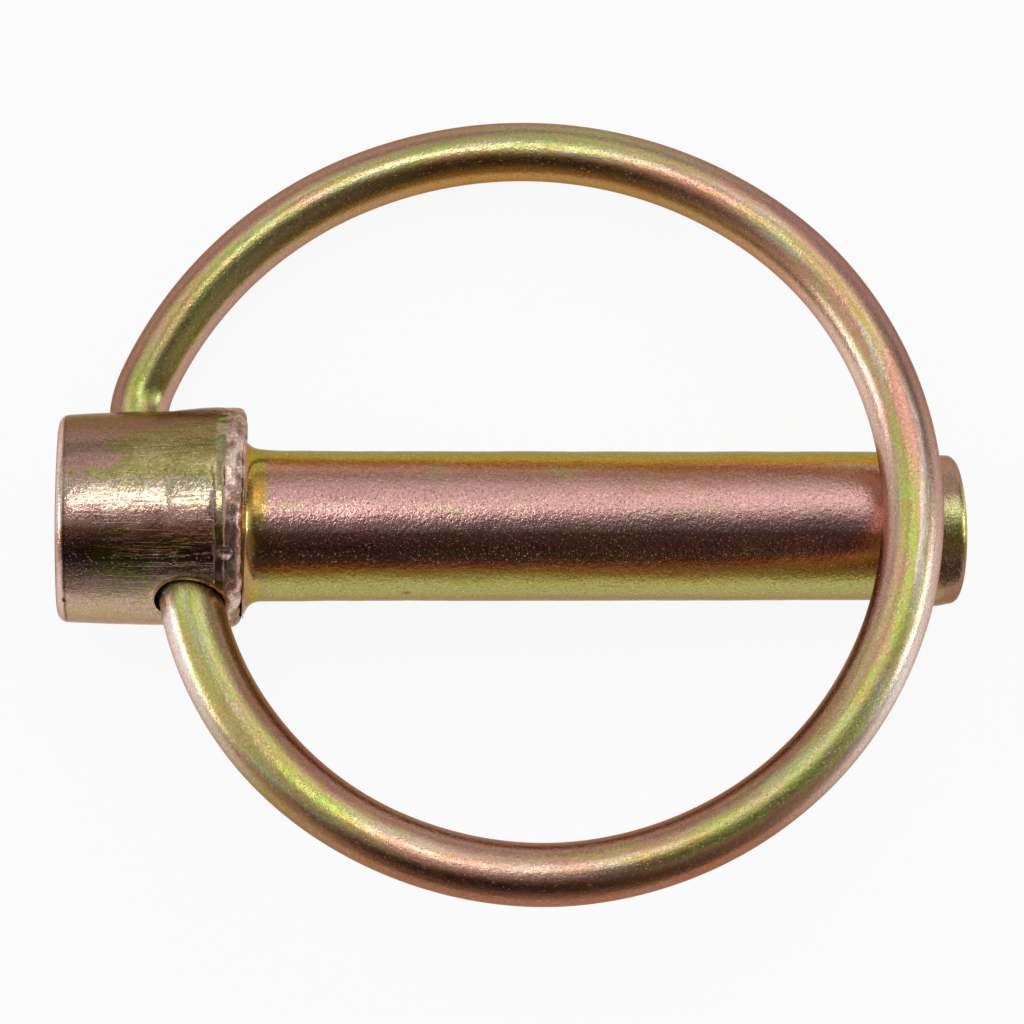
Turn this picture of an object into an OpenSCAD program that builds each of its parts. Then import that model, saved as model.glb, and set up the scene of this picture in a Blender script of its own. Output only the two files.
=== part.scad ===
// Lynch pin: a forged steel pin with a spring-wire ring pivoted in its head.
// The ring snaps over the shank near the tip and keeps the pin in its hole.
// The pin lies as it rests on level ground: on the rim of its collar and the
// edge of its tip, with one side of the ring on the ground. The origin is on
// the ground under the middle of the part, +X runs towards the tip and +Z is up.

/* [Shank] */
// Diameter of the shank
shank_d = 9.525; // [8.5:0.005:10.5]
// Length from the shoulder to the crown of the tip
shank_len = 45.9; // [45:0.1:54]
// Height of the crown on the tip
tip_crown = 0.65; // [0.3:0.05:1.2]
// Rounding of the tip's edge
tip_round = 0.45; // [0.3:0.05:1]
// Radius of the fillet where the shank meets the shoulder
neck_fillet = 1.0; // [0.6:0.05:1.3]
// Length of the slight lead from the tip back past the ring's crossing
lead_len = 7.8; // [7:0.1:9]
// How much thinner the lead is at the tip, on the radius
lead_drop = 0.02; // [0.01:0.01:0.08]

/* [Head] */
// Diameter of the head's barrel
head_d = 13.54; // [12.8:0.02:14]
// Length of the head from its crown to the shoulder
head_len = 11.7; // [11.5:0.1:15]
// Height of the crown on the head's end
head_crown = 0.2; // [0.1:0.05:0.8]
// Rounding of the edge round the head's end
head_round = 0.5; // [0.4:0.05:1.2]
// How far the head's axis lies beside the shank's axis
head_offset = 0.5; // [0:0.05:0.8]
// Diameter of the collar under the head
collar_d = 14.2; // [14.1:0.02:15.2]
// Width of the collar's rim
collar_len = 1.25; // [1:0.05:1.5]
// Rounding of the collar's front edge
collar_round = 0.45; // [0.2:0.05:0.6]
// Width of the parting groove behind the collar
groove_w = 0.6; // [0.4:0.05:0.9]
// Depth of the parting groove
groove_depth = 0.1; // [0.05:0.01:0.2]
// Length over which the barrel swells to the collar's size
flare_len = 2.6; // [1.5:0.1:3]

/* [Cross bore] */
// Diameter of the bore that the ring's ends turn in
bore_d = 4.5; // [4.3:0.02:4.9]
// Distance from the shoulder to the bore, on the head's axis
bore_at = 5.0; // [4.6:0.1:6]
// Angle by which the bore leans along the pin
bore_slant = 16; // [14:1:21]
// Angle by which the bore's front mouth looks up
bore_rise = 39; // [33:1:42]

/* [Ring] */
// Diameter of the ring's wire
wire_d = 3.77; // [3.5:0.01:3.9]
// Length of each straight end of the wire in the bore
pivot_len = 4.6; // [3.5:0.1:5.5]
// Distance from the shoulder to where the ring crosses the shank
ring_reach = 41.5; // [40:0.1:43]
// Distance from the shank's axis to the ring's side where it touches the ground
ring_low_side = 22; // [21:0.1:24.5]
// Distance from the shank's axis to the ring's raised side
ring_high_side = 20.4; // [18.5:0.1:22]
// How much higher than its crossing the ring's raised side stands
ring_lift = 6.3; // [5:0.1:7.5]
// Gap between the closed ring and the shank
ring_gap = 0.05; // [0.02:0.01:0.1]

/* [Hidden] */
$fn = 96;

zinc_gold = [0.66, 0.60, 0.38];
zinc_olive = [0.58, 0.56, 0.40];

shank_r = shank_d / 2;
head_r = head_d / 2;
collar_r = collar_d / 2;
wire_r = wire_d / 2;
bore_r = bore_d / 2;

// The forging: the head is sunk into the shank's root, and the neck fillet into the shoulder.
root_depth = 2;
fillet_bury = 0.03;
arc_steps = 8;
// Angle at which an edge's rounding runs into the crown beside it
crown_meet = 80;

// The wire is drawn as arcs and straights in line. Every second one is seam_step fuller
// and takes the ends of its thinner neighbours, which run on by seam_lap.
seam_step = 0.01;
seam_lap = 0.2;

// Nose-down angle at which the collar's rounded edge and the tip's rounded edge both touch the ground.
tip_r = shank_r - lead_drop;
edge_span = shank_len - tip_crown - tip_round + collar_round;
edge_drop = (collar_r - collar_round) - (tip_r - tip_round);
edge_extra = collar_round - tip_round;
rest_tilt = atan2(edge_drop, edge_span) + asin(edge_extra / norm([edge_span, edge_drop]));
shoulder_h = (collar_r - collar_round) * cos(rest_tilt) + collar_round * (1 - sin(rest_tilt));

// Places below are measured from the centre of the shoulder.
function unit(v) = v / norm(v);

// Heading in the ring's path, from its bearing in plan and its slope.
function heading(bearing, slope) = unit([cos(bearing), sin(bearing), slope]);

// A point or direction of the level pin, turned nose down into its rest pose.
function laid(p) =
    [p.x * cos(rest_tilt) + p.z * sin(rest_tilt), p.y, p.z * cos(rest_tilt) - p.x * sin(rest_tilt)];

// The bore's axis, from its raised front mouth to its low back mouth, and its midpoint.
bore_dir_level = [-sin(bore_slant), cos(bore_slant) * cos(bore_rise), -cos(bore_slant) * sin(bore_rise)];
bore_mid_level = [-bore_at, head_offset, 0];
bore_dir = laid(bore_dir_level);
bore_mid = laid(bore_mid_level);
bore_half = head_r / cos(bore_slant);

// The ring starts to bend this far inside its back mouth and this far inside its front mouth.
back_bend_in = 0.3;
front_bend_in = 0.2;
back_end = bore_mid + (bore_half - back_bend_in) * bore_dir;
front_end = bore_mid - (bore_half - front_bend_in) * bore_dir;

// Stations of the ring: where it rests on the ground, where it crosses the shank, and its raised side.
ring_mid_x = (ring_reach - bore_at) / 2;
low_shift = 12;
high_shift = -2;
low_heading = heading(23.5, 0);
cross_heading = heading(-94.6, 0.294);
high_heading = heading(184.3, 0);
cross_lean = norm([cross_heading.y, sin(rest_tilt) * cross_heading.x + cos(rest_tilt) * cross_heading.z]);
cross_clear = (shank_r + wire_r + ring_gap) * cross_lean / abs(cross_heading.y);
low_point = [ring_mid_x - low_shift, ring_low_side, wire_r + seam_step - shoulder_h];
cross_point = [ring_reach, 0, (cross_clear - ring_reach * sin(rest_tilt)) / cos(rest_tilt)];
high_point = [ring_mid_x - high_shift, -ring_high_side, cross_point.z + ring_lift];

// How sharply the wire bends at its two ends: the first arc's share of the reach, against the second's.
back_bend = 0.24;
front_bend = 37;

// Two arcs in line join p1, heading t1, to p2, heading t2. Their meeting point:
function meet(p1, t1, p2, t2, share) =
    let(
        v = p2 - p1,
        a = 2 * share * (t1 * t2 - 1),
        b = -2 * (v * (share * t1 + t2)),
        d2 = (-b - sqrt(b * b - 4 * a * (v * v))) / (2 * a),
        d1 = share * d2
    )
    (d2 * (p1 + d1 * t1) + d1 * (p2 - d2 * t2)) / (d1 + d2);

// Heading at the end q of the arc that leaves p heading t.
function heading_at_end(p, t, q) = let(e = unit(q - p)) 2 * (t * e) * e - t;

// The two arcs of one span, each as [start, heading, end].
function span(p1, t1, p2, t2, share) =
    let(m = meet(p1, t1, p2, t2, share))
    [[p1, t1, m], [m, heading_at_end(p1, t1, m), p2]];

ring_arcs = concat(
    span(back_end, bore_dir, low_point, low_heading, back_bend),
    span(low_point, low_heading, cross_point, cross_heading, 1),
    span(cross_point, cross_heading, high_point, high_heading, 1),
    span(high_point, high_heading, front_end, bore_dir, front_bend)
);

// A point of an arc, at a fraction u of its turn.
function arc_point(arc, u) =
    let(
        t = arc[1],
        chord = arc[2] - arc[0],
        bend_axis = cross(t, unit(chord)),
        bend_r = norm(chord) / (2 * norm(bend_axis)),
        a = u * 2 * atan2(norm(bend_axis), t * unit(chord))
    )
    arc[0] + bend_r * ((1 - cos(a)) * cross(unit(bend_axis), t) + sin(a) * t);

// The part's origin, seen from the shoulder: midway along the pin, midway between the ring's sides.
ring_sides = [for (arc = ring_arcs) for (i = [0:arc_steps]) arc_point(arc, i / arc_steps).y];
part_origin = [
    (shank_len - head_len) / 2 * cos(rest_tilt),
    (max(ring_sides) + min(ring_sides)) / 2,
    -shoulder_h
];

// Points along a circular arc of a turned profile.
function arc_points(centre, r, from, to) =
    [for (i = [0:arc_steps]) let(a = from + (to - from) * i / arc_steps) centre + r * [cos(a), sin(a)]];

// Points of a shallow crown of the given height, from the axis outwards, on an end at axial place z.
function crown_points(half_width, height, z, side) =
    [for (i = [0:arc_steps]) let(x = half_width * i / arc_steps) [x, z - side * height * (x / half_width) ^ 2]];

// Smooth step from 0 to 1.
function ease(u) = (1 - cos(180 * u)) / 2;

// A body of revolution about +X, from a profile of [radius, place along X] points.
module turned(profile) {
    rotate([0, 90, 0]) rotate_extrude() polygon(profile);
}

// Turns the level pin nose down into its rest pose.
module lay_down() {
    rotate([0, rest_tilt, 0]) children();
}

// Moves a piece from the shoulder's centre to the part's origin.
module on_ground() {
    translate(-part_origin) children();
}

// One circular stretch of wire from p, heading t, to q, run on by lap at both ends.
module wire_arc(p, t, q, r, lap) {
    chord = q - p;
    bend_axis = cross(t, unit(chord));
    bend_r = norm(chord) / (2 * norm(bend_axis));
    turn = 2 * atan2(norm(bend_axis), t * unit(chord));
    n = unit(bend_axis);
    inward = cross(n, t);
    centre = p + bend_r * inward;
    run_on = lap / bend_r * 180 / PI;
    multmatrix([
        [-inward.x, t.x, n.x, centre.x],
        [-inward.y, t.y, n.y, centre.y],
        [-inward.z, t.z, n.z, centre.z],
        [0, 0, 0, 1]
    ])
        rotate_extrude(angle = turn + 2 * run_on, start = -run_on) translate([bend_r, 0]) circle(r = r);
}

// A straight stretch of wire of length l from p along the unit direction d.
module wire_straight(p, d, l, r) {
    side = unit(cross([1, 0, 0], d));
    up = cross(d, side);
    multmatrix([
        [side.x, up.x, d.x, p.x],
        [side.y, up.y, d.y, p.y],
        [side.z, up.z, d.z, p.z],
        [0, 0, 0, 1]
    ])
        cylinder(h = l, r = r);
}

// Upset head on its own axis: crowned end, barrel, swelling, parting groove and collar.
module head() {
    end_z = -head_len + head_crown;
    flare_end = -collar_len - groove_w;
    rim_r = collar_r - groove_depth;
    translate([0, head_offset, 0])
        turned(concat(
            crown_points(head_r - head_round, head_crown, -head_len, -1),
            arc_points([head_r - head_round, end_z + head_round], head_round, -crown_meet, 0),
            [for (i = [0:arc_steps])
                let(u = i / arc_steps)
                [head_r + (rim_r - head_r) * ease(u), flare_end - flare_len * (1 - u)]],
            [[collar_r - 2 * groove_depth, flare_end + groove_w / 2], [collar_r, -collar_len]],
            arc_points([collar_r - collar_round, -collar_round], collar_round, 0, 90),
            [[0, 0]]
        ));
}

// Plain shank with its neck fillet, its lead, and its rounded and crowned tip.
module shank() {
    crown_z = shank_len - tip_crown;
    turned(concat(
        [[0, -root_depth], [shank_r + neck_fillet, -root_depth]],
        arc_points([shank_r + neck_fillet, neck_fillet - fillet_bury], neck_fillet, 270, 180),
        [[shank_r, shank_len - lead_len]],
        arc_points([tip_r - tip_round, crown_z - tip_round], tip_round, 0, crown_meet),
        [for (i = [arc_steps:-1:0]) crown_points(tip_r - tip_round, tip_crown, shank_len, 1)[i]]
    ));
}

// Slanted cross bore, drilled right through the head.
module cross_bore() {
    wire_straight(bore_mid_level - head_d * bore_dir_level, bore_dir_level, 2 * head_d, bore_r);
}

module headed_pin() {
    color(zinc_gold)
        on_ground() lay_down()
            difference() {
                union() {
                    head();
                    shank();
                }
                cross_bore();
            }
}

// Sprung ring: both straight ends turn in the bore, and the rest bends round in line with them.
module snap_ring() {
    color(zinc_olive)
        on_ground() union() {
            wire_straight(back_end - (pivot_len - back_bend_in) * bore_dir, bore_dir,
                pivot_len - back_bend_in + seam_lap, wire_r);
            for (i = [0:len(ring_arcs) - 1])
                let(arc = ring_arcs[i], full = i % 2 == 0)
                wire_arc(arc[0], arc[1], arc[2], wire_r + (full ? seam_step : 0), full ? 0 : seam_lap);
            wire_straight(front_end, bore_dir, pivot_len - front_bend_in, wire_r + seam_step);
        }
}

headed_pin();
snap_ring();
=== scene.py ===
from math import atan2, ceil, cos, exp, pi, radians, sin

import bmesh
import bpy
from mathutils import Matrix, Vector, noise


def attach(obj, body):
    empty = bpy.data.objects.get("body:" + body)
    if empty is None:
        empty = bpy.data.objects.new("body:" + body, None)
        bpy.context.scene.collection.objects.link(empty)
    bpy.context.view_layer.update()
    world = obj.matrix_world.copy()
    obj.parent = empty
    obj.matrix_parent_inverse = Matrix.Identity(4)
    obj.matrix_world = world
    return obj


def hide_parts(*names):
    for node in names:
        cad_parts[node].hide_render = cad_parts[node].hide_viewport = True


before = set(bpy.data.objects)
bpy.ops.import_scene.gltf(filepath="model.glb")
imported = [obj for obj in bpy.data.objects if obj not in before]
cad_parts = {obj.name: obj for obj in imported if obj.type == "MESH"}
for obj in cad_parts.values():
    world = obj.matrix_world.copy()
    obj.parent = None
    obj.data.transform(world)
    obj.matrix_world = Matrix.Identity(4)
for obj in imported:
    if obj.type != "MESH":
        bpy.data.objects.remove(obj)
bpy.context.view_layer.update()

# ---- The forged pin ----
# One steel forging: an upset head with a rough parting collar, and a plain shank with a sheared tip.
# It is turned here as a round profile along +X in millimetres, with the middle of the shoulder at zero,
# then worn and leaned, drilled, and laid nose down on the ground.
shank_r = 4.7625
shank_end = 45.46
tip_r, tip_crown, tip_round = 4.74, 0.12, 0.50
lead_start = 38.1
head_end, head_crown, head_round = -11.85, 0.18, 0.70
barrel = [(-10.97, 6.545), (-10.4, 6.58), (-9.1, 6.64), (-7.8, 6.68), (-5.8, 6.76), (-4.45, 6.77),
          (-4.04, 6.84), (-3.4, 6.90), (-2.8, 6.95), (-1.85, 7.0)]
head_offset = 0.5
step_line, collar_back = -1.85, -1.2
collar_r, collar_round = 6.95, 0.70
neck_fillet, fillet_bury = 1.0, 0.03
around_pin = 240

rest_tilt = radians(2.98238)
shoulder_in_part = Vector((-17.0768, -1.91743, 7.06758))
lay_down = Matrix.Scale(0.001, 4) @ Matrix.Translation(shoulder_in_part) @ Matrix.Rotation(rest_tilt, 4, "Y")


def smooth(u):
    u = min(max(u, 0.0), 1.0)
    return u * u * (3 - 2 * u)


def straight_run(start, end, spacing):
    start, end = Vector(start), Vector(end)
    steps = max(1, ceil((end - start).length / spacing))
    return [tuple(start.lerp(end, i / steps)) for i in range(1, steps + 1)]


def rounding(centre, radius, first, last, steps):
    return [(centre[0] + radius * cos(radians(first + (last - first) * i / steps)),
             centre[1] + radius * sin(radians(first + (last - first) * i / steps))) for i in range(steps + 1)]


crown_steps, tip_steps = 24, 22
flat_r = barrel[0][1] - head_round
profile = [(head_end + head_crown * (i / crown_steps) ** 2, flat_r * i / crown_steps)
           for i in range(crown_steps)]
profile += rounding((head_end + head_crown + head_round, flat_r), head_round, 176, 90, 7)
for corner in barrel[1:]:
    profile += straight_run(profile[-1], corner, 0.2)
profile += straight_run(profile[-1], (collar_back, 6.99), 0.08)
profile += straight_run(profile[-1], (-collar_round, collar_r), 0.1)[:-1]
profile += rounding((-collar_round - 0.05, collar_r - collar_round), collar_round, 90, 0, 9)
profile += straight_run(profile[-1], (0.0, shank_r + neck_fillet), 0.2)[:-1]
profile += rounding((neck_fillet - fillet_bury, shank_r + neck_fillet), neck_fillet, 182, 270, 12)
profile += straight_run(profile[-1], (lead_start, shank_r), 0.32)
tip_flat_r = tip_r - tip_round
profile += straight_run(profile[-1], (shank_end - tip_crown - tip_round, tip_r), 0.25)[:-1]
profile += rounding((shank_end - tip_crown - tip_round, tip_flat_r), tip_round, 90, 5, 8)
profile += [(shank_end - tip_crown * (1 - i / tip_steps) ** 2, tip_flat_r * (1 - i / tip_steps))
            for i in range(1, tip_steps + 1)]

pin = bmesh.new()
stations = [pin.verts.new((x, r, 0.0)) for x, r in profile]
for a, b in zip(stations, stations[1:]):
    pin.edges.new((a, b))
bmesh.ops.spin(pin, geom=pin.verts[:] + pin.edges[:], cent=(0, 0, 0), axis=(1, 0, 0), angle=2 * pi,
               steps=around_pin, use_merge=True)
bmesh.ops.remove_doubles(pin, verts=pin.verts, dist=1e-4)
bmesh.ops.recalc_face_normals(pin, faces=pin.faces)

# Wear and hand of the forging: the head sits beside the shank's axis, both sheared ends lean, the parting
# collar leans forward at the top, and the skin is never quite round. Leans are per mm up and per mm far.
head_end_lean, tip_lean, collar_lean = (0.077, 0.010), (0.01, 0.021), (0.052, 0.045)
neck_swell, neck_far_swell, neck_reach = 0.11, 0.07, 1.7
tip_push, top_swage = 0.21, 0.27
burr_x, burr_height = 43.9, 0.20
band_sink = 0.07
lump_height, ripple_height, rag_height = 0.030, 0.010, 0.055
flat_from, flat_to, flat_depth = radians(15), radians(37), 0.24
pit_x, pit_at, pit_depth = -1.15, radians(-17.5), 0.22
nicks = [(-11.2, -48, 0.10), (-11.15, -51, 0.12), (-11.1, -54.5, 0.09), (-11.35, 40, 0.05)]

for v in pin.verts:
    x, y, z = v.co
    radius = (y * y + z * z) ** 0.5
    out = Vector((0, y, z)) / max(radius, 1e-6)
    in_head = 1.0 if x < -0.02 else smooth((radius - 5.8) / 0.8) * (1 if x < 0.6 else 0)
    at_collar = exp(-((x + 0.9) / 1.5) ** 2) * smooth((radius - 5.4) / 1.0)
    at_head_end = smooth((head_end + 2.4 - x) / 2.0)
    at_tip = smooth((x - shank_end + 2.6) / 2.0)
    v.co.x += at_head_end * (head_end_lean[0] * z + head_end_lean[1] * y)
    v.co.x -= at_tip * (tip_lean[0] * z + tip_lean[1] * y)
    v.co.x += at_collar * (collar_lean[0] * z + collar_lean[1] * y * smooth((abs(y) - 3.5) / 2.0))
    v.co.y += head_offset * in_head
    # The neck stands fuller on the far side. Cropping has pushed the tip sideways into a burr.
    if x > 0 and radius < 5.9:
        v.co += out * (neck_swell + neck_far_swell * y / max(radius, 1e-6)) * exp(-(x / neck_reach) ** 2)
    v.co.y -= tip_push * smooth((x - 42.4) / 1.4)
    v.co.z -= top_swage * smooth((x - 42.5) / 2.9) * max(z, 0.0) / shank_r
    v.co += out * burr_height * exp(-((x - burr_x) / 0.75) ** 2) * smooth((-y - 2.0) / 2.5)
    # Between the step line and the collar the skin is sunk a little, but not at its far and near sides.
    in_band = smooth((x - step_line) / 0.12) * smooth((collar_back - x) / 0.14)
    v.co -= out * band_sink * in_band * smooth((5.6 - abs(y)) / 2.5) * (radius > 6)
    lump = noise.noise(Vector((x * 0.35, y * 0.3, z * 0.3)) + Vector((3.1, 0.7, 5.2)))
    ripple = noise.noise(Vector((x * 1.1, y * 0.9, z * 0.9)) + Vector((8.4, 1.9, 2.6)))
    v.co += out * (lump_height * lump + ripple_height * ripple) * min(1.0, radius / 3)
    if -1.9 < x < 0.1 and radius > 6:
        rag = noise.noise(Vector((x * 1.6, y * 1.3, z * 1.3)) + Vector((1.7, 4.4, 9.3)))
        chip = noise.noise(Vector((x * 0.8, y * 3.1, z * 3.1)) + Vector((6.2, 2.8, 0.4)))
        v.co += out * (rag_height * rag)
        v.co.x += 0.09 * rag + 0.05 * chip
    # One flat hammered on the collar, a pit under it, and nicks in the barrel's back edge.
    around = atan2(y, z)
    if -1.25 < x < -0.1 and flat_from < around < flat_to:
        hammered = smooth((flat_to - around) / radians(22)) * smooth((around - flat_from) / radians(3))
        v.co -= out * flat_depth * hammered
    pit = ((x - pit_x) / 0.42) ** 2 + ((around - pit_at) * 7.1 / 0.34) ** 2
    v.co -= out * pit_depth * exp(-pit * pit)
    for nick_x, nick_at, nick_depth in nicks:
        nick = ((x - nick_x) / 0.35) ** 2 + ((around - radians(nick_at)) * 6.7 / 0.13) ** 2
        v.co -= out * nick_depth * exp(-nick)

mesh = bpy.data.meshes.new("headed_pin_forging")
pin.to_mesh(mesh)
pin.free()
forged_pin = bpy.data.objects.new("forged_pin", mesh)
bpy.context.scene.collection.objects.link(forged_pin)

# The cross bore: one slanted hole, drilled right through the head for the ring's two ends.
bore_r, drill_length = 2.08, 27.0
bore_mid = Vector((-5.12, 0.5, 0.0))
bore_dir = Vector((-0.275637, 0.747041, -0.604942))
drill = bmesh.new()
along_bore = Matrix.Translation(bore_mid) @ bore_dir.to_track_quat("Z", "X").to_matrix().to_4x4()
bmesh.ops.create_cone(drill, cap_ends=True, segments=96, radius1=bore_r, radius2=bore_r, depth=drill_length,
                      matrix=along_bore)
drill_mesh = bpy.data.meshes.new("drill")
drill.to_mesh(drill_mesh)
drill.free()
drill_bit = bpy.data.objects.new("drill", drill_mesh)
bpy.context.scene.collection.objects.link(drill_bit)
cut = forged_pin.modifiers.new("cross_bore", "BOOLEAN")
cut.operation, cut.solver, cut.object = "DIFFERENCE", "FAST", drill_bit
bpy.context.view_layer.update()
drilled = bpy.data.meshes.new_from_object(forged_pin.evaluated_get(bpy.context.evaluated_depsgraph_get()))
forged_pin.modifiers.clear()
forged_pin.data = drilled
bpy.data.objects.remove(drill_bit)

# The mouths are worn: their rims are pulled in a little, as a rounded lip.
pin = bmesh.new()
pin.from_mesh(drilled)
lip_w, lip_drop = 0.45, 0.14
for v in pin.verts:
    from_mid = v.co - bore_mid
    across = from_mid - from_mid.dot(bore_dir) * bore_dir
    from_wall = across.length - bore_r
    outward = Vector((0, v.co.y - head_offset, v.co.z))
    if -0.01 < from_wall < lip_w and outward.length > 6.2:
        v.co -= outward.normalized() * lip_drop * (1 - from_wall / lip_w) ** 2
bmesh.ops.transform(pin, matrix=lay_down, verts=pin.verts)
for v in pin.verts:
    v.co.z = max(v.co.z, 0.0)
for face in pin.faces:
    face.smooth = True
pin.to_mesh(drilled)
pin.free()
drilled.set_sharp_from_angle(angle=radians(38))

# Yellow zinc plating on the forged skin: a satin grain that sparkles, rosy where it faces up, orange and then
# olive gold towards the flanks, with drawn scratches along the barrel. These bands by facing are partly the
# plating's own colour and partly painted iridescent sheen.


def place(tree, kind, inputs=(), **settings):
    made = tree.nodes.new("ShaderNode" + kind)
    for name, value in settings.items():
        setattr(made, name, value)
    for name, value in dict(inputs).items():
        if isinstance(value, bpy.types.NodeSocket):
            tree.links.new(value, made.inputs[name])
        else:
            made.inputs[name].default_value = value
    return made


def sum_of(tree, operation, a, b=0.0, c=0.0, clamp=False):
    return place(tree, "Math", {0: a, 1: b, 2: c}, operation=operation, use_clamp=clamp).outputs[0]


def mottle(tree, where, scale, detail, roughness):
    return place(tree, "TexNoise", {"Vector": where, "Scale": scale, "Detail": detail,
                                    "Roughness": roughness}).outputs["Fac"]


def stretched(tree, where, x, y, z):
    return place(tree, "Mapping", {"Vector": where, "Scale": (x, y, z)}).outputs[0]


def ramp(tree, value, stops):
    made = place(tree, "ValToRGB", {0: value})
    points = made.color_ramp.elements
    while len(points) < len(stops):
        points.new(0.5)
    for point, (position, level) in zip(points, stops):
        point.position = position
        point.color = (*level, 1) if isinstance(level, tuple) else (level, level, level, 1)
    return made.outputs[0]


def tint(tree, share, plain, mixed, blend="MIX"):
    made = place(tree, "Mix", data_type="RGBA", blend_type=blend)
    for index, value in ((0, share), (6, plain), (7, mixed)):
        if isinstance(value, bpy.types.NodeSocket):
            tree.links.new(value, made.inputs[index])
        else:
            made.inputs[index].default_value = (*value, 1) if isinstance(value, tuple) else value
    return made.outputs[2]


pin_finish = bpy.data.materials.new("pin_plating")
pin_finish.use_nodes = True
tree = pin_finish.node_tree
skin = tree.nodes["Principled BSDF"]
skin.inputs["Metallic"].default_value = 1.0
skin.inputs["Specular Tint"].default_value = (0.62, 0.50, 0.40, 1)
spot = place(tree, "TexCoord")
on_pin = place(tree, "Mapping", {"Vector": spot.outputs["Object"], "Location": shoulder_in_part / 1000,
                                 "Rotation": (0, rest_tilt, 0), "Scale": (0.001, 0.001, 0.001)},
               vector_type="TEXTURE").outputs[0]
pin_x, pin_y, pin_z = place(tree, "SeparateXYZ", {0: on_pin}).outputs
facing_x, facing_y, facing_z = place(tree, "SeparateXYZ", {0: spot.outputs["Normal"]}).outputs
upward = sum_of(tree, "ABSOLUTE", facing_z)
far_share = sum_of(tree, "MULTIPLY_ADD", facing_y, 0.5, 0.5)

# Where along the pin: 0 is 5 mm behind the shoulder and 1 is 5 mm in front of it, with the collar's lean.
unleaned = sum_of(tree, "MULTIPLY_ADD", pin_z, -0.052,
                  sum_of(tree, "MULTIPLY_ADD", pin_y, -0.027, pin_x))
zone = sum_of(tree, "MULTIPLY_ADD", unleaned, 0.1, 0.5)
on_head = ramp(tree, zone, [(0.305, 1.0), (0.322, 0.0)])
on_strip = ramp(tree, zone, [(0.366, 0.0), (0.382, 1.0), (0.49, 1.0), (0.505, 0.0)])
on_neck = ramp(tree, zone, [(0.49, 0.0), (0.51, 1.0), (0.60, 1.0), (0.67, 0.0)])
on_shank = ramp(tree, zone, [(0.60, 0.0), (0.67, 1.0)])

head_at = sum_of(tree, "MULTIPLY_ADD", pin_x, 1 / 12, 1.0)
on_tip = ramp(tree, sum_of(tree, "MULTIPLY_ADD", pin_x, 0.1, -4.0), [(0.32, 0.0), (0.42, 1.0)])
cloud = mottle(tree, stretched(tree, on_pin, 0.6, 1, 1), 0.42, 6, 0.66)
long_cloud = mottle(tree, stretched(tree, on_pin, 0.10, 1, 1), 0.6, 6, 0.62)
fleck = mottle(tree, stretched(tree, on_pin, 0.6, 1, 1), 2.6, 4, 0.7)
speck = mottle(tree, on_pin, 6.5, 2, 0.7)
# The shank's colour follows how far each spot faces up: partly the plating's own colour, partly painted
# iridescent sheen.
tilted = sum_of(tree, "ABSOLUTE", sum_of(tree, "MULTIPLY_ADD", facing_y, 0.21, facing_z))
drift = sum_of(tree, "MULTIPLY_ADD", long_cloud, 0.34, sum_of(tree, "SUBTRACT", tilted, 0.17))
drift = sum_of(tree, "MULTIPLY_ADD", fleck, 0.16, sum_of(tree, "SUBTRACT", drift, 0.08))
shank_tint = ramp(tree, drift, [
    (0.0, (0.36, 0.29, 0.14)), (0.25, (0.42, 0.39, 0.15)), (0.50, (0.40, 0.37, 0.11)),
    (0.62, (0.43, 0.32, 0.06)), (0.71, (0.44, 0.22, 0.045)), (0.79, (0.46, 0.20, 0.09)),
    (0.88, (0.46, 0.23, 0.17)), (0.96, (0.50, 0.28, 0.25))])
green_patch = ramp(tree, mottle(tree, stretched(tree, on_pin, 0.4, 1, 1), 0.7, 6, 0.7),
                   [(0.54, 0.0), (0.68, 0.5)])
shank_tint = tint(tree, green_patch, shank_tint, (0.38, 0.37, 0.17))
# The tip is mauve towards its near and far sides and green-gold facing up, and its palest stop, a little
# towards the far side, is a painted highlight.
tip_tint_and_painted_highlight = ramp(tree, far_share,
                [(0.08, (0.30, 0.17, 0.12)), (0.30, (0.32, 0.19, 0.13)), (0.48, (0.48, 0.46, 0.13)),
                 (0.62, (0.66, 0.66, 0.28)), (0.74, (0.36, 0.22, 0.15))])
shank_tint = tint(tree, on_tip, shank_tint, tip_tint_and_painted_highlight)
far_side = ramp(tree, facing_y, [(0.10, 0.0), (0.35, 1.0), (0.75, 1.0), (0.9, 0.3)])
green_place = sum_of(tree, "MULTIPLY", far_side, ramp(tree, head_at, [(0.30, 0.0), (0.50, 1.0), (0.90, 1.0)]))
leaning = sum_of(tree, "MULTIPLY_ADD", green_place, 0.13, sum_of(tree, "MULTIPLY_ADD", fleck, 0.25, -0.04))
head_tint = ramp(tree, sum_of(tree, "ADD", cloud, leaning),
                 [(0.48, (0.42, 0.23, 0.20)), (0.63, (0.44, 0.27, 0.20)), (0.68, (0.31, 0.29, 0.08)),
                  (0.80, (0.46, 0.38, 0.17))])
# The head's far side, beyond its highlight, is painted dark brown: painted shade.
head_tint = tint(tree, ramp(tree, far_share, [(0.72, 0.0), (0.92, 0.75)]), head_tint, (0.18, 0.095, 0.05))
# The head's near flank is painted paler: a painted reflection of the low light on the near side.
head_tint = tint(tree, ramp(tree, far_share, [(0.10, 0.7), (0.30, 0.0)]), head_tint, (0.56, 0.42, 0.28))
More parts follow.
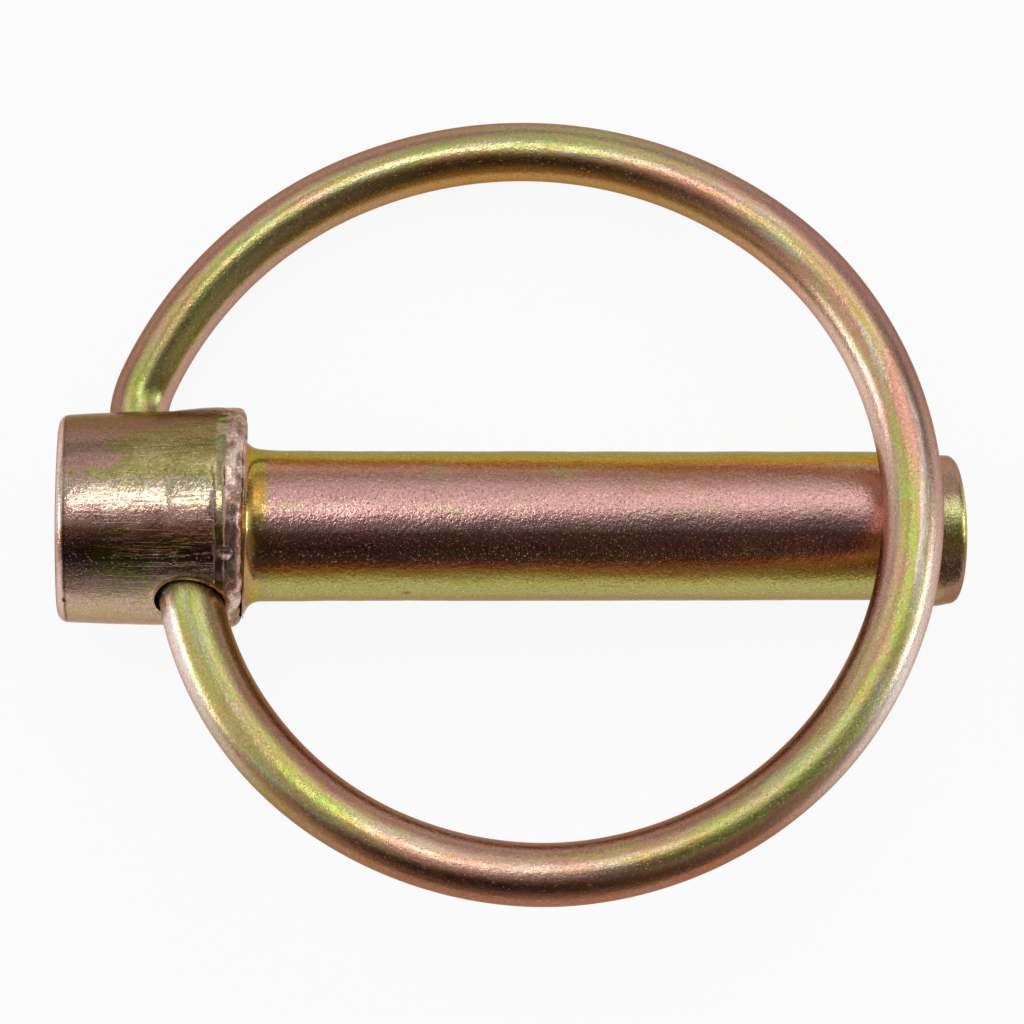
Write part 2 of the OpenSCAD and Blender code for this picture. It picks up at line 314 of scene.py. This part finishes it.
# A pale band where the head faces a little to the far side, broken by flecks, is a painted highlight.
painted_highlight_band = ramp(tree, sum_of(tree, "MULTIPLY_ADD", fleck, 0.3, sum_of(tree, "SUBTRACT", facing_y, 0.15)),
            [(0.06, 0.0), (0.16, 0.7), (0.30, 0.7), (0.42, 0.0)])
head_tint = tint(tree, painted_highlight_band, head_tint, (0.56, 0.48, 0.36))
chips = mottle(tree, stretched(tree, on_pin, 1, 0.7, 0.7), 1.3, 3, 0.6)
back_edge = sum_of(tree, "MULTIPLY_ADD", pin_z, -head_end_lean[0], pin_x)
back_edge = sum_of(tree, "MULTIPLY_ADD", back_edge, 0.5, 6.0)
head_tint = tint(tree, ramp(tree, sum_of(tree, "MULTIPLY_ADD", chips, 0.10, back_edge),
                            [(0.41, 0.0), (0.48, 0.8), (0.56, 0.0)]), head_tint, (0.14, 0.09, 0.06))
end_on = ramp(tree, sum_of(tree, "ABSOLUTE", facing_x), [(0.84, 0.0), (0.96, 1.0)])
# The rounding of the back edge, but not the end face, is painted pale: a painted highlight.
painted_edge_highlight = sum_of(tree, "MULTIPLY", ramp(tree, back_edge, [(0.33, 0.9), (0.41, 0.0)]),
                   sum_of(tree, "SUBTRACT", 1.0, end_on))
head_tint = tint(tree, painted_edge_highlight, head_tint, (0.78, 0.60, 0.52))
strip_tint = ramp(tree, chips, [
    (0.34, (0.29, 0.17, 0.13)), (0.47, (0.47, 0.32, 0.25)), (0.61, (0.76, 0.57, 0.50))])
band_tint = tint(tree, ramp(tree, cloud, [(0.42, 0.0), (0.58, 1.0)]), (0.34, 0.21, 0.15), (0.32, 0.33, 0.15))
# The neck's colour follows which way it faces: partly the plating's own colour, partly painted iridescent
# sheen.
neck_tint = ramp(tree, far_share,
                 [(0.05, (0.40, 0.36, 0.09)), (0.25, (0.44, 0.25, 0.12)), (0.5, (0.52, 0.38, 0.12)),
                  (0.72, (0.46, 0.24, 0.05)), (0.95, (0.36, 0.33, 0.07))])
plated = tint(tree, on_head, band_tint, head_tint)
plated = tint(tree, on_strip, plated, strip_tint)
plated = tint(tree, on_neck, plated, neck_tint)
plated = tint(tree, on_shank, plated, shank_tint)
# Both sheared ends are blotched rose and olive.
end_tint = ramp(tree, mottle(tree, stretched(tree, on_pin, 1, 0.5, 1), 0.55, 6, 0.7), [
    (0.38, (0.40, 0.25, 0.19)), (0.50, (0.46, 0.31, 0.17)), (0.58, (0.38, 0.34, 0.13)),
    (0.68, (0.46, 0.43, 0.20))])
at_ends = sum_of(tree, "MULTIPLY", end_on, sum_of(tree, "SUBTRACT", 1.0, on_strip))
plated = tint(tree, at_ends, plated, end_tint)
# Where the skin faces up and a little towards the near side it is painted browner and darker, a painted shade
# along the dark band of its reflection, and fine dark pits and bright crystals lie over all of it.
painted_dark_band = ramp(tree, far_share, [(0.31, 0.0), (0.36, 0.8), (0.45, 0.8), (0.49, 0.0)])
plated = tint(tree, sum_of(tree, "MULTIPLY", painted_dark_band, upward), plated, (0.50, 0.30, 0.20), "MULTIPLY")
pitted = ramp(tree, speck, [(0.28, (0.55, 0.50, 0.46)), (0.42, (0.98, 0.98, 0.98)), (0.58, (1.0, 1.0, 1.0)),
                            (0.74, (1.6, 1.6, 1.7))])
plated = tint(tree, 1.0, plated, pitted, "MULTIPLY")
# A brown stain and a short dark score on the near side of the shank.
marks = [((10.2, -4.19, 2.26), 0.8, 0.26), ((23.1, -3.75, 2.93), 0.055, 0.055)]
for middle, squeeze, reach in marks:
    off = place(tree, "VectorMath", {0: on_pin, 1: middle}, operation="SUBTRACT").outputs[0]
    off = stretched(tree, off, squeeze, 1, 1)
    far_off = place(tree, "VectorMath", {0: off}, operation="LENGTH").outputs["Value"]
    far_off = sum_of(tree, "MULTIPLY_ADD", fleck, 0.3, sum_of(tree, "DIVIDE", far_off, reach * 2))
    plated = tint(tree, ramp(tree, far_off, [(0.35, 0.75), (0.75, 0.0)]), plated, (0.20, 0.10, 0.05))
tree.links.new(plated, skin.inputs["Base Color"])

# The skin's relief: fine grain and crystals, strongest on the shank, drawn scratches along the barrel, and
# torn steel on the parting collar and both ends.
grain = mottle(tree, on_pin, 9.0, 2, 0.6)
swell = mottle(tree, on_pin, 3.6, 2, 0.5)
scratch = ramp(tree, mottle(tree, stretched(tree, on_pin, 0.06, 3.0, 3.0), 1.7, 3, 0.7),
               [(0.54, 0.0), (0.60, 1.0)])
scratch_share = sum_of(tree, "MULTIPLY", on_head, ramp(tree, head_at, [(0.25, 0.2), (0.75, 1.0)]))
torn = mottle(tree, stretched(tree, on_pin, 1, 0.6, 0.6), 3.0, 4, 0.7)
grain_share = sum_of(tree, "MULTIPLY_ADD", on_shank, 0.56, sum_of(tree, "MULTIPLY_ADD", on_head, 0.3, 0.4))
crystals = ramp(tree, mottle(tree, on_pin, 8.0, 1, 0.5), [(0.66, 0.0), (0.76, 1.0)])
height = sum_of(tree, "MULTIPLY_ADD", swell, 1.5, sum_of(tree, "ADD", crystals, grain))
height = sum_of(tree, "MULTIPLY", height, grain_share)
height = sum_of(tree, "MULTIPLY_ADD", sum_of(tree, "MULTIPLY", scratch, scratch_share), 0.6, height)
height = sum_of(tree, "MULTIPLY_ADD", sum_of(tree, "MULTIPLY", torn, on_strip), 3.0, height)
shear = mottle(tree, stretched(tree, on_pin, 1, 0.25, 1.6), 2.2, 4, 0.6)
height = sum_of(tree, "MULTIPLY_ADD", sum_of(tree, "MULTIPLY", shear, end_on), 2.0, height)
rough = sum_of(tree, "MULTIPLY_ADD", fleck, 0.16, sum_of(tree, "MULTIPLY_ADD", on_strip, 0.14, 0.03))
tree.links.new(rough, skin.inputs["Roughness"])
bump = place(tree, "Bump", {"Height": height, "Strength": 0.9, "Distance": 0.00002})
tree.links.new(bump.outputs[0], skin.inputs["Normal"])
drilled.materials.clear()
drilled.materials.append(pin_finish)
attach(forged_pin, "pin")
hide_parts("headed_pin")

# ---- The snap ring ----
# One length of drawn spring wire, bent cold: both straight ends turn in the head's bore. The loop between
# them lies on the ground on one side, crosses over the shank near its tip, and stands raised on the other.
wire_r = 1.885
pivot_len = 4.6
around_wire, wire_step = 48, 0.4
bore_line = Vector((-0.306738, 0.747041, -0.589781))
back_end = Vector((-24.1384, 3.61974, 3.35093))
wire_bends = [
    ((-0.306738, 0.747041, -0.589781), (-23.8572, 7.45932, 1.96299)),
    ((0.427629, 0.903927, -0.00701595), (-10.8268, 20.0826, 1.895)),
    ((0.91706, 0.398749, 0.0), (13.7728, 18.5907, 4.91286)),
    ((0.835864, -0.50506, 0.215047), (24.4232, -1.91743, 11.889)),
    ((-0.0769425, -0.956306, 0.282062), (17.7416, -15.8941, 16.2477)),
    ((-0.702668, -0.6745, 0.226513), (3.17316, -22.3174, 18.189)),
    ((-0.997185, -0.0749787, 0.0), (-19.6922, -7.3378, 11.8251)),
    ((-0.261321, 0.899456, -0.350271), (-19.9711, -6.5293, 11.3635)),
]

wire = bmesh.new()
run = wire.verts.layers.float_vector.new("wire_run")
wire_start = back_end - pivot_len * bore_line
side = bore_line.to_track_quat("Z", "Y").to_matrix()
bmesh.ops.create_circle(wire, cap_ends=False, segments=around_wire, radius=wire_r,
                        matrix=Matrix.Translation(wire_start) @ side.to_4x4())
for v in wire.verts:
    from_axis = v.co - wire_start
    v[run] = (0.0, from_axis.dot(side.col[0]), from_axis.dot(side.col[1]))
drawn = 0.0
wire_front = wire.edges[:]
first_end = wire.edges[:]


def draw_straight(length, spacing):
    global drawn, wire_front
    steps = ceil(length / spacing)
    for _ in range(steps):
        made = bmesh.ops.extrude_edge_only(wire, edges=wire_front)["geom"]
        verts = [g for g in made if isinstance(g, bmesh.types.BMVert)]
        wire_front = [g for g in made
                      if isinstance(g, bmesh.types.BMEdge) and all(v in verts for v in g.verts)]
        bmesh.ops.translate(wire, vec=bore_line * length / steps, verts=verts)
        drawn += length / steps
        for v in verts:
            v[run] = (drawn, v[run][1], v[run][2])


def bend(start, heading, end, spacing):
    global drawn, wire_front
    chord = end - start
    axis = heading.cross(chord.normalized())
    bend_r = chord.length / (2 * axis.length)
    turn = 2 * atan2(axis.length, heading.dot(chord.normalized()))
    axis.normalize()
    steps = ceil(turn * bend_r / spacing)
    for _ in range(steps):
        ends = list({v for e in wire_front for v in e.verts})
        made = bmesh.ops.spin(wire, geom=ends + wire_front, cent=start + bend_r * axis.cross(heading),
                              axis=axis, angle=turn / steps, steps=1)["geom_last"]
        wire_front = [g for g in made if isinstance(g, bmesh.types.BMEdge)]
        drawn += turn * bend_r / steps
        for v in {v for e in wire_front for v in e.verts}:
            v[run] = (drawn, v[run][1], v[run][2])


draw_straight(pivot_len, wire_step)
corner = back_end
for heading, end in wire_bends:
    bend(corner, Vector(heading).normalized(), Vector(end), wire_step)
    corner = Vector(end)
draw_straight(pivot_len, wire_step)
for rim in (first_end, wire_front):
    cap = bmesh.ops.edgeloop_fill(wire, edges=rim)["faces"]
    bmesh.ops.inset_region(wire, faces=cap, thickness=0.25, depth=0.12)
bmesh.ops.recalc_face_normals(wire, faces=wire.faces)
# Bending has left the wire a little fuller towards the front mouth, and the loop a little wide on the right.
# Each place is given in mm along the wire.
fuller, fuller_from, front_mouth = 0.08, 122, 143.2
wide, wide_from, wider, wider_from = 0.07, 52, 0.04, 86
wire.normal_update()
for v in wire.verts:
    along = v[run][0]
    v.co += v.normal * fuller * smooth((along - fuller_from) / 12) * smooth((front_mouth - along) / 1.2)
    spread_loop = wide * smooth((along - wide_from) / 10) + wider * smooth((along - wider_from) / 8)
    v.co += Vector((v.co.x, v.co.y, 0)).normalized() * spread_loop * smooth((fuller_from - along) / 12)
for face in wire.faces:
    face.smooth = True
bmesh.ops.scale(wire, vec=(0.001, 0.001, 0.001), verts=wire.verts)
mesh = bpy.data.meshes.new("snap_ring_wire")
wire.to_mesh(mesh)
wire.free()
mesh.set_sharp_from_angle(angle=radians(38))
spring_ring = bpy.data.objects.new("spring_ring", mesh)
bpy.context.scene.collection.objects.link(spring_ring)

# The ring's plating is smoother, drawn along the wire. Its chromate colour changes along the run: green-gold
# at the ends and the low side, rosy at the crossing and round the raised side, always rosier at its flanks.
wire_length = 147.4
ring_finish = bpy.data.materials.new("ring_plating")
ring_finish.use_nodes = True
tree = ring_finish.node_tree
skin = tree.nodes["Principled BSDF"]
skin.inputs["Metallic"].default_value = 1.0
skin.inputs["Specular Tint"].default_value = (0.62, 0.46, 0.40, 1)
run_at = place(tree, "Attribute", attribute_name="wire_run").outputs["Vector"]
spot = place(tree, "TexCoord")
facing_x, facing_y = place(tree, "SeparateXYZ", {0: spot.outputs["Normal"]}).outputs[:2]
from_middle = place(tree, "VectorMath", {0: spot.outputs["Object"], 1: (1.0, 1.0, 0.0)},
                    operation="MULTIPLY").outputs[0]
from_middle = place(tree, "VectorMath", {0: from_middle}, operation="NORMALIZE").outputs[0]
outward = place(tree, "VectorMath", {0: spot.outputs["Normal"], 1: from_middle},
                operation="DOT_PRODUCT").outputs["Value"]
cloud = mottle(tree, stretched(tree, run_at, 0.18, 1, 1), 0.60, 6, 0.68)
fleck = mottle(tree, stretched(tree, run_at, 0.45, 1, 1), 2.4, 4, 0.72)
streaks = mottle(tree, stretched(tree, run_at, 0.12, 2.0, 2.0), 1.0, 5, 0.65)
speck = mottle(tree, run_at, 6.5, 2, 0.7)
# Along the wire: 0 is the end in the back mouth and 1 the end in the front mouth.
share_run = sum_of(tree, "DIVIDE", place(tree, "SeparateXYZ", {0: run_at}).outputs["X"], wire_length)
greenness = ramp(tree, share_run, [
    (0.03, 0.75), (0.10, 0.80), (0.19, 0.75), (0.30, 0.70), (0.37, 0.35), (0.41, 0.0), (0.46, 0.35),
    (0.50, 0.15), (0.57, 0.70), (0.62, 0.90), (0.68, 0.80), (0.72, 0.15), (0.82, 0.10), (0.87, 0.65),
    (0.93, 0.85)])
spread = sum_of(tree, "MULTIPLY_ADD", cloud, 4.0, sum_of(tree, "MULTIPLY_ADD", fleck, 1.4, -2.7))
green_share = sum_of(tree, "ADD", greenness, spread, clamp=True)
core = tint(tree, green_share, (0.58, 0.29, 0.21), (0.40, 0.46, 0.10))
core = tint(tree, ramp(tree, streaks, [(0.51, 0.0), (0.62, 0.60)]), core, (0.54, 0.51, 0.38))
amber = mottle(tree, stretched(tree, run_at, 0.25, 1, 1), 1.2, 5, 0.65)
core = tint(tree, ramp(tree, amber, [(0.57, 0.0), (0.66, 0.7)]), core, (0.56, 0.33, 0.09))
# Across the wire: 0 is the loop's inner edge and 1 its outer edge.
across_wire = sum_of(tree, "MULTIPLY_ADD", outward, 0.5, sum_of(tree, "MULTIPLY_ADD", cloud, 0.5, 0.25))
# The palest stops of the flank tints are painted highlights: on the outer flank at the lower right and by the
# front mouth, and on the inner flank at the upper right. By the front mouth they also paint light over the
# shade of the bore.
outer_tint_and_painted_highlights = ramp(tree, share_run, [
    (0.05, (0.36, 0.19, 0.13)), (0.20, (0.40, 0.22, 0.15)), (0.30, (0.38, 0.32, 0.16)),
    (0.38, (0.36, 0.19, 0.16)), (0.47, (0.36, 0.20, 0.16)), (0.54, (0.62, 0.42, 0.34)),
    (0.60, (0.84, 0.74, 0.66)), (0.68, (0.42, 0.22, 0.16)), (0.80, (0.46, 0.27, 0.21)),
    (0.88, (0.40, 0.30, 0.12)), (0.94, (0.84, 0.70, 0.62))])
inner_tint_and_painted_highlight = ramp(tree, share_run, [
    (0.05, (0.50, 0.31, 0.24)), (0.15, (0.50, 0.31, 0.24)), (0.24, (0.48, 0.27, 0.08)),
    (0.34, (0.42, 0.32, 0.09)), (0.40, (0.56, 0.31, 0.20)), (0.46, (0.84, 0.62, 0.52)),
    (0.54, (0.62, 0.38, 0.30)), (0.64, (0.34, 0.16, 0.10)), (0.72, (0.40, 0.20, 0.14)),
    (0.80, (0.44, 0.24, 0.18)), (0.90, (0.36, 0.17, 0.11)), (0.95, (0.42, 0.26, 0.14))])
# A pale line just outside the crown, where the ring crosses the shank, is a painted highlight.
painted_highlight_line = ramp(tree, sum_of(tree, "MULTIPLY_ADD", fleck, 0.1, sum_of(tree, "SUBTRACT", across_wire, 0.05)),
              [(0.55, 0.0), (0.61, 0.9), (0.67, 0.9), (0.71, 0.0)])
painted_highlight_run = ramp(tree, share_run, [(0.465, 0.0), (0.49, 1.0), (0.55, 1.0), (0.58, 0.0)])
core = tint(tree, sum_of(tree, "MULTIPLY", painted_highlight_line, painted_highlight_run), core, (0.84, 0.70, 0.60))
plated = tint(tree, ramp(tree, across_wire, [(0.66, 0.0), (0.80, 1.0)]), core, outer_tint_and_painted_highlights)
plated = tint(tree, ramp(tree, across_wire, [(0.12, 1.0), (0.28, 0.0)]), plated, inner_tint_and_painted_highlight)
# The wire is painted browner and darker on its near side, away from the left and right of the loop: painted
# shade.
painted_shade_tint = ramp(tree, share_run, [
    (0.05, (0.42, 0.34, 0.12)), (0.15, (0.40, 0.27, 0.11)), (0.24, (0.44, 0.20, 0.06)),
    (0.40, (0.44, 0.20, 0.12)), (0.75, (0.36, 0.14, 0.07))])
painted_shade_side = sum_of(tree, "MULTIPLY_ADD", facing_y, 0.5, sum_of(tree, "MULTIPLY_ADD", cloud, 0.2, 0.4))
painted_shade_side = ramp(tree, painted_shade_side, [(0.05, 0.3), (0.15, 0.85), (0.38, 0.85), (0.47, 0.0)])
lengthways = ramp(tree, sum_of(tree, "ABSOLUTE", facing_x), [(0.35, 1.0), (0.70, 0.0)])
plated = tint(tree, sum_of(tree, "MULTIPLY", painted_shade_side, lengthways), plated, painted_shade_tint)
pitted = ramp(tree, speck, [(0.26, (0.70, 0.66, 0.62)), (0.44, (0.96, 0.96, 0.96)), (0.56, (1.0, 1.0, 1.0)),
                            (0.74, (1.45, 1.45, 1.5))])
plated = tint(tree, 1.0, plated, pitted, "MULTIPLY")
tree.links.new(plated, skin.inputs["Base Color"])
grain = mottle(tree, stretched(tree, run_at, 0.6, 1, 1), 9.0, 2, 0.6)
tree.links.new(ramp(tree, fleck, [(0.3, 0.21), (0.7, 0.34)]), skin.inputs["Roughness"])
crystals = ramp(tree, mottle(tree, stretched(tree, run_at, 0.7, 1, 1), 8.0, 1, 0.5),
                [(0.66, 0.0), (0.76, 1.0)])
swell = mottle(tree, stretched(tree, run_at, 0.5, 1, 1), 3.4, 2, 0.5)
height = sum_of(tree, "MULTIPLY_ADD", swell, 1.2, sum_of(tree, "ADD", crystals, grain))
bump = place(tree, "Bump", {"Height": height, "Strength": 0.8, "Distance": 0.000014})
tree.links.new(bump.outputs[0], skin.inputs["Normal"])
mesh.materials.append(ring_finish)
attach(spring_ring, "ring")
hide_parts("snap_ring")

# ---- Floor, light and camera ----
# A sheet of white paper under soft studio light: one softbox high on the far side, an upright strip at either
# hand, and a dim glow from the walls of the room all round.
floor_bm = bmesh.new()
bmesh.ops.create_grid(floor_bm, x_segments=1, y_segments=1, size=3.0)
floor_mesh = bpy.data.meshes.new("floor")
floor_bm.to_mesh(floor_mesh)
floor_bm.free()
floor = bpy.data.objects.new("floor", floor_mesh)
bpy.context.scene.collection.objects.link(floor)
paper = bpy.data.materials.new("white_paper")
paper.use_nodes = True
tree = paper.node_tree
matte = tree.nodes["Principled BSDF"]
matte.inputs["Base Color"].default_value = (0.86, 0.86, 0.86, 1)
matte.inputs["Roughness"].default_value = 0.9
matte.inputs["Specular IOR Level"].default_value = 0.2
seen = place(tree, "LightPath")
looked_at = sum_of(tree, "ADD", seen.outputs["Is Camera Ray"], seen.outputs["Is Glossy Ray"])
looked_at = sum_of(tree, "ADD", looked_at, seen.outputs["Is Transmission Ray"], clamp=True)
# The floor shows nearly white, and the rest of its brightness is real, so it keeps the shadow.
glow_share = 0.92
glow = place(tree, "Emission", {"Color": (1.0, 1.0, 1.0, 1)})
pale = place(tree, "MixShader", {0: sum_of(tree, "MULTIPLY", looked_at, glow_share), 1: matte.outputs[0],
                                 2: glow.outputs[0]})
tree.links.new(pale.outputs[0], tree.nodes["Material Output"].inputs["Surface"])
floor_mesh.materials.append(paper)

lamp_distance = 0.6


def softbox(name, toward, long_bearing, long_side, short_side, level):
    away = Vector((*toward, (1 - toward[0] ** 2 - toward[1] ** 2) ** 0.5))
    long_way = Vector((cos(radians(long_bearing)), sin(radians(long_bearing)), 0))
    long_way = (long_way - long_way.dot(away) * away).normalized()
    lamp = bpy.data.lights.new(name, "AREA")
    lamp.shape = "RECTANGLE"
    lamp.size, lamp.size_y = long_side * lamp_distance, short_side * lamp_distance
    lamp.energy = level * pi * lamp.size * lamp.size_y
    box = bpy.data.objects.new(name, lamp)
    bpy.context.scene.collection.objects.link(box)
    box.matrix_world = Matrix.Translation(away * lamp_distance) @ Matrix(
        (long_way, away.cross(long_way), away)).transposed().to_4x4()


softbox("far_softbox", (-0.15, 0.35), 56, 0.36, 0.18, 4.6)
softbox("left_strip", (-0.965, -0.02), 90, 0.40, 0.16, 4.5)
softbox("right_strip", (0.962, 0.07), 90, 0.40, 0.16, 4.5)

# Soft light from the walls and ceiling: where each glow hangs, and its level. The brightest are on the far
# side, and the near side is left dark.
glows = [
    ((0.34, 0.60, 0.73), 1.34), ((-0.54, 0.58, 0.61), 0.92), ((0.82, 0.22, 0.53), 0.84),
    ((-0.28, 0.02, 0.96), 0.61), ((0.45, 0.89, 0.12), 0.60), ((-0.73, 0.19, 0.66), 0.59),
    ((0.03, 0.91, 0.41), 0.58), ((-0.60, 0.77, 0.23), 0.51), ((-0.98, -0.01, 0.19), 0.50),
    ((-0.98, 0.20, 0.05), 0.43), ((-0.81, -0.53, 0.25), 0.43), ((0.84, -0.48, 0.26), 0.39),
    ((-0.82, -0.08, 0.57), 0.37), ((-0.72, 0.59, 0.37), 0.35), ((0.92, 0.05, 0.38), 0.32),
    ((0.13, 0.76, 0.64), 0.29), ((1.00, -0.03, 0.01), 0.28), ((0.43, -0.43, 0.79), 0.27),
    ((-0.76, -0.65, 0.02), 0.27), ((-0.08, -0.97, 0.22), 0.25), ((-0.29, 0.90, 0.32), 0.23),
    ((0.73, -0.66, 0.18), 0.19), ((0.66, -0.38, 0.64), 0.19), ((0.02, -0.99, 0.10), 0.17),
    ((-0.59, -0.79, 0.16), 0.15), ((-0.45, 0.77, 0.46), 0.15), ((-0.90, 0.11, 0.43), 0.14),
    ((-0.10, 0.98, 0.17), 0.13), ((0.27, -0.95, 0.13), 0.12), ((0.72, 0.67, 0.21), 0.12),
    ((0.24, 0.93, 0.26), 0.09), ((0.14, 0.46, 0.88), 0.45), ((0.12, 0.68, 0.72), 0.30)]
glow_tightness, room_level = 22.8, 0.012
world = bpy.data.worlds.new("studio")
bpy.context.scene.world = world
world.use_nodes = True
tree = world.node_tree
looking = place(tree, "TexCoord").outputs["Generated"]
room_light = room_level
for hangs, level in glows:
    near = place(tree, "VectorMath", {0: looking, 1: Vector(hangs).normalized()},
                 operation="DOT_PRODUCT").outputs["Value"]
    soft = sum_of(tree, "EXPONENT", sum_of(tree, "MULTIPLY_ADD", near, glow_tightness, -glow_tightness))
    room_light = sum_of(tree, "MULTIPLY_ADD", soft, level, room_light)
tree.links.new(room_light, tree.nodes["Background"].inputs["Color"])
tree.nodes["Background"].inputs["Strength"].default_value = 1.0

# The camera looks straight down from 175 mm up, over a point just off the middle of the pin.
camera_data = bpy.data.cameras.new("camera")
camera_data.sensor_width = 36.0
camera_data.lens = 93.3
camera_data.clip_start = 0.01
camera = bpy.data.objects.new("camera", camera_data)
camera.location = (-0.0001468, -0.00102743, 0.175)
bpy.context.scene.collection.objects.link(camera)
bpy.context.scene.camera = camera

bpy.context.scene.view_settings.view_transform = "Standard"
